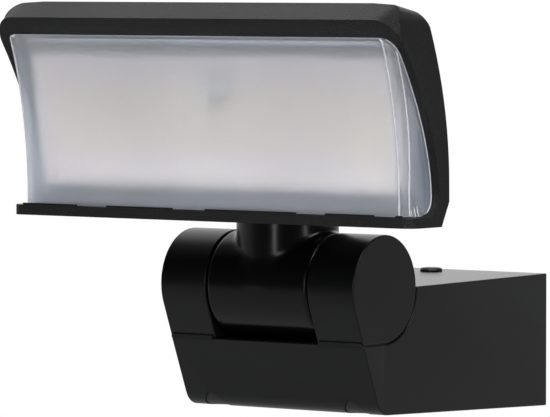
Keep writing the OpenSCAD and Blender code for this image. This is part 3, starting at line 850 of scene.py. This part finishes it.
def tube_tree(material):
    """Geometry Nodes: a round bead of a given radius along every open run of edges."""
    tree = bpy.data.node_groups.new("bead_along_edges", "GeometryNodeTree")
    tree.interface.new_socket("Geometry", in_out="INPUT", socket_type="NodeSocketGeometry")
    radius = tree.interface.new_socket("Radius", in_out="INPUT", socket_type="NodeSocketFloat")
    tree.interface.new_socket("Geometry", in_out="OUTPUT", socket_type="NodeSocketGeometry")
    start, end = tree.nodes.new("NodeGroupInput"), tree.nodes.new("NodeGroupOutput")
    to_curve = tree.nodes.new("GeometryNodeMeshToCurve")
    profile = tree.nodes.new("GeometryNodeCurvePrimitiveCircle")
    profile.inputs["Resolution"].default_value = 10
    sweep = tree.nodes.new("GeometryNodeCurveToMesh")
    sweep.inputs["Fill Caps"].default_value = True
    smooth = tree.nodes.new("GeometryNodeSetShadeSmooth")
    realize = tree.nodes.new("GeometryNodeRealizeInstances")
    paint = tree.nodes.new("GeometryNodeSetMaterial")
    paint.inputs["Material"].default_value = material
    links = tree.links
    links.new(start.outputs["Geometry"], to_curve.inputs["Mesh"])
    links.new(start.outputs["Radius"], profile.inputs["Radius"])
    links.new(to_curve.outputs["Curve"], sweep.inputs["Curve"])
    links.new(profile.outputs["Curve"], sweep.inputs["Profile Curve"])
    links.new(sweep.outputs["Mesh"], smooth.inputs["Geometry"])
    links.new(smooth.outputs["Geometry"], realize.inputs["Geometry"])
    links.new(realize.outputs["Geometry"], paint.inputs["Geometry"])
    links.new(paint.outputs["Geometry"], end.inputs["Geometry"])
    return tree, radius.identifier


def bead(name, runs, radius, tree, socket):
    """Beads along runs of points, made a plain mesh in opaque milky grey; on the cover's corners and sides these
    light lines are painted highlight.
    """
    points = [place(*p) for run in runs for p in run]
    edges, first = [], 0
    for run in runs:
        edges += [(first + i, first + i + 1) for i in range(len(run) - 1)]
        first += len(run)
    mesh = bpy.data.meshes.new(name)
    mesh.from_pydata([tuple(p) for p in points], edges, [])
    piece = bpy.data.objects.new(name, mesh)
    bpy.context.scene.collection.objects.link(piece)
    modifier = modify(piece, "NODES", node_group=tree)
    modifier[socket] = radius * MM
    bake_modifiers(piece)
    work = bmesh.new()
    work.from_mesh(piece.data)
    bmesh.ops.recalc_face_normals(work, faces=work.faces)
    work.to_mesh(piece.data)
    work.free()
    return finish(piece, "head", "frosted_lens", material=MILKY_PLASTIC_AND_HIGHLIGHT)


def make_top_rib():
    """The stiffening rib just inside the cover's top edge."""
    low, high = LENS_HIGH - LENS_T - 1.25, LENS_HIGH - LENS_T - 0.1
    near, far = RIB_DEPTHS
    outline = [(lens_f(z) - back, z) for z, back in ((low, far), (low, near), (high, near), (high, far))]
    rib = prism("lens_top_rib", outline, -RIB_HALF, RIB_HALF)
    finish(rib, "head", "frosted_lens", material=MILKY_PLASTIC_AND_HIGHLIGHT)


def make_lens_beads():
    """The diffuser's beads along the opening, at the front corners and on the sides, and its catch ribs. The
    corner beads are a painted highlight along the cover's front corners, and the side beads are a moulded step
    whose light line is partly painted highlight.
    """
    tree, socket = tube_tree(MILKY_PLASTIC_AND_HIGHLIGHT)
    steps = 60
    rim, corners, steps_in, catches = [], [], [], []
    for side in (-1, 1):
        heights = [LENS_LOW + 0.3 + (LENS_HIGH - LENS_LOW - 0.9) * i / steps for i in range(steps + 1)]
        rim.append([(side * (bezel_x(z) - 0.3), bezel_f(z) - 0.1, z) for z in heights])
        corners.append([(side * (lens_side_x(z, lens_f(z)) - 0.3), lens_f(z) - 0.3, z) for z in heights])
        ledge = [(z, step_f(z)) for z in heights if bezel_f(z) + 0.3 < step_f(z) < lens_f(z) - 0.5]
        steps_in.append([(side * (lens_side_x(z, f) - 0.12), f, z) for z, f in ledge])
        for f in CATCH_F:
            rib = (31.6, 33.6, 35.6 - 0.5 * (f - CATCH_F[0]))
            catches.append([(side * (lens_side_x(z, f) + 0.1), f, z) for z in rib])
    bead("lens_catch_ribs", catches, 0.2, tree, socket)
    bead("lens_rim_bead", rim, 0.26, tree, socket)
    bead("lens_corner_bead", corners, 0.4, tree, socket)
    bead("lens_side_bead", steps_in, 0.34, tree, socket)


def make_lip_bars():
    """The low bars on the lip, between the diffuser's catches."""
    tree = bpy.data.node_groups.new("bars_on_lip", "GeometryNodeTree")
    tree.interface.new_socket("Geometry", in_out="INPUT", socket_type="NodeSocketGeometry")
    depth = tree.interface.new_socket("Depth", in_out="INPUT", socket_type="NodeSocketFloat")
    height = tree.interface.new_socket("Height", in_out="INPUT", socket_type="NodeSocketFloat")
    tree.interface.new_socket("Geometry", in_out="OUTPUT", socket_type="NodeSocketGeometry")
    start, end = tree.nodes.new("NodeGroupInput"), tree.nodes.new("NodeGroupOutput")
    length = tree.nodes.new("GeometryNodeInputNamedAttribute")
    length.data_type = "FLOAT"
    length.inputs["Name"].default_value = "length"
    size = tree.nodes.new("ShaderNodeCombineXYZ")
    block = tree.nodes.new("GeometryNodeMeshCube")
    block.inputs["Size"].default_value = (1, 1, 1)
    spread = tree.nodes.new("GeometryNodeInstanceOnPoints")
    realize = tree.nodes.new("GeometryNodeRealizeInstances")
    paint = tree.nodes.new("GeometryNodeSetMaterial")
    paint.inputs["Material"].default_value = MATERIALS["head_black"]
    links = tree.links
    links.new(length.outputs["Attribute"], size.inputs["X"])
    links.new(start.outputs["Depth"], size.inputs["Y"])
    links.new(start.outputs["Height"], size.inputs["Z"])
    links.new(start.outputs["Geometry"], spread.inputs["Points"])
    links.new(block.outputs["Mesh"], spread.inputs["Instance"])
    links.new(size.outputs["Vector"], spread.inputs["Scale"])
    links.new(spread.outputs["Instances"], realize.inputs["Geometry"])
    links.new(realize.outputs["Geometry"], paint.inputs["Geometry"])
    links.new(paint.outputs["Geometry"], end.inputs["Geometry"])
    mesh = bpy.data.meshes.new("lip_bars")
    mesh.from_pydata([tuple(place((a + b) / 2, LIP_F - 1.05, LIP_TOP + 0.15)) for a, b in BAR_SPANS], [], [])
    spans = mesh.attributes.new("length", "FLOAT", "POINT")
    for item, (a, b) in zip(spans.data, BAR_SPANS):
        item.value = (b - a) * MM
    bars = bpy.data.objects.new("lip_bars", mesh)
    bpy.context.scene.collection.objects.link(bars)
    modifier = modify(bars, "NODES", node_group=tree)
    modifier[depth.identifier] = 0.9 * MM
    modifier[height.identifier] = 1.3 * MM
    bake_modifiers(bars)
    soften(bars, 0.2, 2)
    finish(bars, "head", "head_black")


# ---------- base, cheeks and arm ----------


def front_f(z):
    """How far forward the base's slanted front is at a height."""
    foot = (DRUM_R - DRUM_R * math.sin(LEAN)) / math.cos(LEAN)
    return foot - (-DRUM_R - z) * math.tan(LEAN)


FLOOR_FRONT = FLOOR_REAR + REACH * math.tan(FLOOR_SLOPE)


def base_outline():
    """The base box in side view, from the cradle round the front and along the floor."""
    centre = (front_f(FLOOR_FRONT + FRONT_R) - FRONT_R / math.cos(LEAN), FLOOR_FRONT + FRONT_R)
    lean = math.degrees(LEAN)
    return (arc((0, 0), CRADLE_R, 180, 270, 40) + [(front_f(-DRUM_R), -CRADLE_R)]
            + arc(centre, FRONT_R, -lean, -90, 12) + [(-REACH, FLOOR_REAR), (-REACH, BOX_TOP)])


def base_hollow():
    """The hollow of the base box in side view, open to the wall."""
    return (arc((0, 0), CRADLE_R + BASE_T, 184, 270, 20)
            + [(front_f(-DRUM_R) - BASE_T - 1, -CRADLE_R - BASE_T),
               (front_f(FLOOR_FRONT + 5) - 3, FLOOR_FRONT + 5),
               (front_f(FLOOR_FRONT) - 7, FLOOR_FRONT + BASE_T),
               (-REACH - 5, FLOOR_REAR + BASE_T), (-REACH - 5, BOX_TOP - BASE_T)])


def well_column(name, radius, low, high, side):
    """An upright cylinder on the axis of a clamp screw."""
    return lathe(name, [(0, low), (radius, low), (radius, high), (0, high)], (side * WELL_X, 0, 0), 56)


def make_base():
    """The base box, with its hollow, the two screw wells and the hole for the cap."""
    base = prism("base_box", base_outline(), -BASE_HALF, BASE_HALF)
    modify(base, "BEVEL", width=0.55 * MM, segments=3, limit_method="ANGLE", angle_limit=math.radians(25))
    bake_modifiers(base)
    hollow = prism("hollow", base_hollow(), -BASE_HALF + BASE_T, BASE_HALF - BASE_T)
    cut(hollow, *(well_column("column", 7, FLOOR_REAR - 2, 0, side) for side in (-1, 1)))
    wells = [well_column("well", WELL_R, FLOOR_REAR - 5, -36, side) for side in (-1, 1)]
    cap_hole = lathe("cap_hole", [(0, -6), (3.4, -6), (3.4, 6), (0, 6)], (0, -100, 0))
    cut(base, hollow, cap_hole, *wells)
    even_shading(base)
    return finish(base, "base", "base_black", "base_housing")


def make_plugs():
    """The plugs in the screw wells, cut to the base's rounded front edge and set in a little."""
    for side, name in ((-1, "left_plug"), (1, "right_plug")):
        plug = well_column(name, WELL_R - 0.38, FLOOR_REAR - 3, FLOOR_FRONT + 6, side)
        shape = prism("plug_shape", [(f - 0.22, z + 0.28) for f, z in base_outline()], -BASE_HALF, BASE_HALF)
        modify(plug, "BOOLEAN", operation="INTERSECT", object=shape, solver="EXACT")
        bake_modifiers(plug)
        bpy.data.objects.remove(shape)
        even_shading(plug)
        finish(plug, "base", "black_plastic", *(("screw_plugs",) if side < 0 else ()))


def cheek_outline():
    """A cheek in side view: round, with a flat front that leans back to the split."""
    lean = math.degrees(LEAN)
    return arc((0, 0), DRUM_R, -lean, 270, 96) + [(front_f(-DRUM_R), -DRUM_R)]


def make_cheeks():
    """The two cheeks that hold the drum, each with its bored seat."""
    for side, name in ((-1, "left_cheek"), (1, "right_cheek")):
        ends = sorted((side * CHEEK_IN, side * BASE_HALF))
        cheek = prism(name + "_shell", cheek_outline(), *ends)
        modify(cheek, "BEVEL", width=0.6 * MM, segments=4, limit_method="ANGLE",
               angle_limit=math.radians(25))
        bake_modifiers(cheek)
        seat = [(0, side * (CHEEK_IN - 2)), (13.5, side * (CHEEK_IN - 2)), (13.5, side * 39), (9, side * 39),
                (9, side * 45), (0, side * 45)]
        cut(cheek, lathe("seat", seat, (0, 0, 0), 64, "X"))
        tongue = prism("tongue", [(-6, -20.6), (15.5, -20.6), (15.5, -22), (-6, -22)],
                       ends[0] + 1, ends[1] - 1)
        modify(cheek, "BOOLEAN", operation="UNION", object=tongue, solver="EXACT")
        bake_modifiers(cheek)
        bpy.data.objects.remove(tongue)
        even_shading(cheek)
        finish(cheek, "base", "base_black", name)


def rounded_cylinder(p, axis, radius, low, high, edge):
    """Distance to a cylinder along an axis between two ends, with its end edges rounded."""
    others = [k for k in range(3) if k != axis]
    radial = np.hypot(p[:, others[0]], p[:, others[1]]) - (radius - edge)
    middle, half = (low + high) / 2, (high - low) / 2 - edge
    along = np.abs(p[:, axis] - middle) - half
    outside = np.hypot(np.maximum(radial, 0), np.maximum(along, 0))
    return outside + np.minimum(np.maximum(radial, along), 0) - edge


def blended(a, b, radius):
    """Union of two distances with a fillet of about the radius."""
    h = np.maximum(radius - np.abs(a - b), 0) / radius
    return np.minimum(a, b) - h * h * radius / 4


def arm_distance(p):
    """Distance to the arm: drum and neck with a soft fillet, trunnions and spigot."""
    drum = rounded_cylinder(p, 0, DRUM_R, -DRUM_HALF, DRUM_HALF, 1.7)
    neck = rounded_cylinder(p, 2, NECK_R, 0, 27.6, 0.6)
    body = blended(drum, neck, 2.2)
    trunnion = rounded_cylinder(p, 0, 12, -38, 38, 0.5)
    spigot = rounded_cylinder(p, 2, 14, 20, 57, 0.5)
    return np.minimum(np.minimum(body, trunnion), spigot)


def settle(points, distance, rounds=5):
    """Moves points onto the surface where a distance function is zero."""
    step = 0.02
    for _ in range(rounds):
        d = distance(points)
        slope = np.stack([(distance(points + step * np.eye(3)[k]) - distance(points - step * np.eye(3)[k]))
                          / (2 * step) for k in range(3)], 1)
        slope /= np.maximum(np.linalg.norm(slope, axis=1, keepdims=True), 0.3)
        points = points - slope * d[:, None]
    return points


def settle_piece(piece, distance, voxel):
    """Remeshes a rough piece evenly and settles it onto a distance function given from the tilt axis."""
    modify(piece, "REMESH", mode="VOXEL", voxel_size=voxel * MM, use_smooth_shade=True)
    bake_modifiers(piece)
    mesh = piece.data
    co = np.empty(len(mesh.vertices) * 3)
    mesh.vertices.foreach_get("co", co)
    local = (co.reshape(-1, 3) - np.array(AXIS)) / MM
    mesh.vertices.foreach_set("co", (settle(local, distance) * MM + np.array(AXIS)).ravel())
    for face in mesh.polygons:
        face.use_smooth = True
    mesh.update()
    return piece


def make_arm():
    """The arm: one casting of drum, neck, trunnions and spigot, settled onto an exact blended shape."""
    drum = lathe("arm_casting", [(0, -DRUM_HALF), (DRUM_R, -DRUM_HALF), (DRUM_R, DRUM_HALF), (0, DRUM_HALF)],
                 (0, 0, 0), 96, "X")
    neck = lathe("neck", [(0, 0), (NECK_R, 0), (NECK_R, 27.6), (0, 27.6)], (0, 0, 0), 96)
    trunnion = lathe("trunnion", [(0, -38), (12, -38), (12, 38), (0, 38)], (0, 0, 0), 64, "X")
    spigot = lathe("spigot", [(0, 10), (14, 10), (14, 57), (0, 57)], (0, 0, 0), 64)
    for extra in (neck, trunnion, spigot):
        modify(drum, "BOOLEAN", operation="UNION", object=extra, solver="EXACT")
        bake_modifiers(drum)
        bpy.data.objects.remove(extra)
    settle_piece(drum, arm_distance, 0.55)
    return finish(drum, "arm", "arm_black", "swivel_arm")


def make_cap():
    """The low round cap on top of the box."""
    cap_profile = [(0, -3), (3.3, -3), (3.3, BOX_TOP), (4.6, BOX_TOP), (4.6, 1.35), (4.3, 1.9), (3.6, 2.15),
                   (0, 2.3)]
    cap = lathe("blank_cap", cap_profile, (0, -100, 0), 48)
    finish(cap, "base", "black_plastic", "top_cap")


dress_cad_nodes()
make_head_shell()
make_diffuser()
make_lens_seal()
make_top_rib()
make_lens_beads()
make_lip_bars()
make_base()
make_plugs()
make_cheeks()
make_arm()
make_cap()
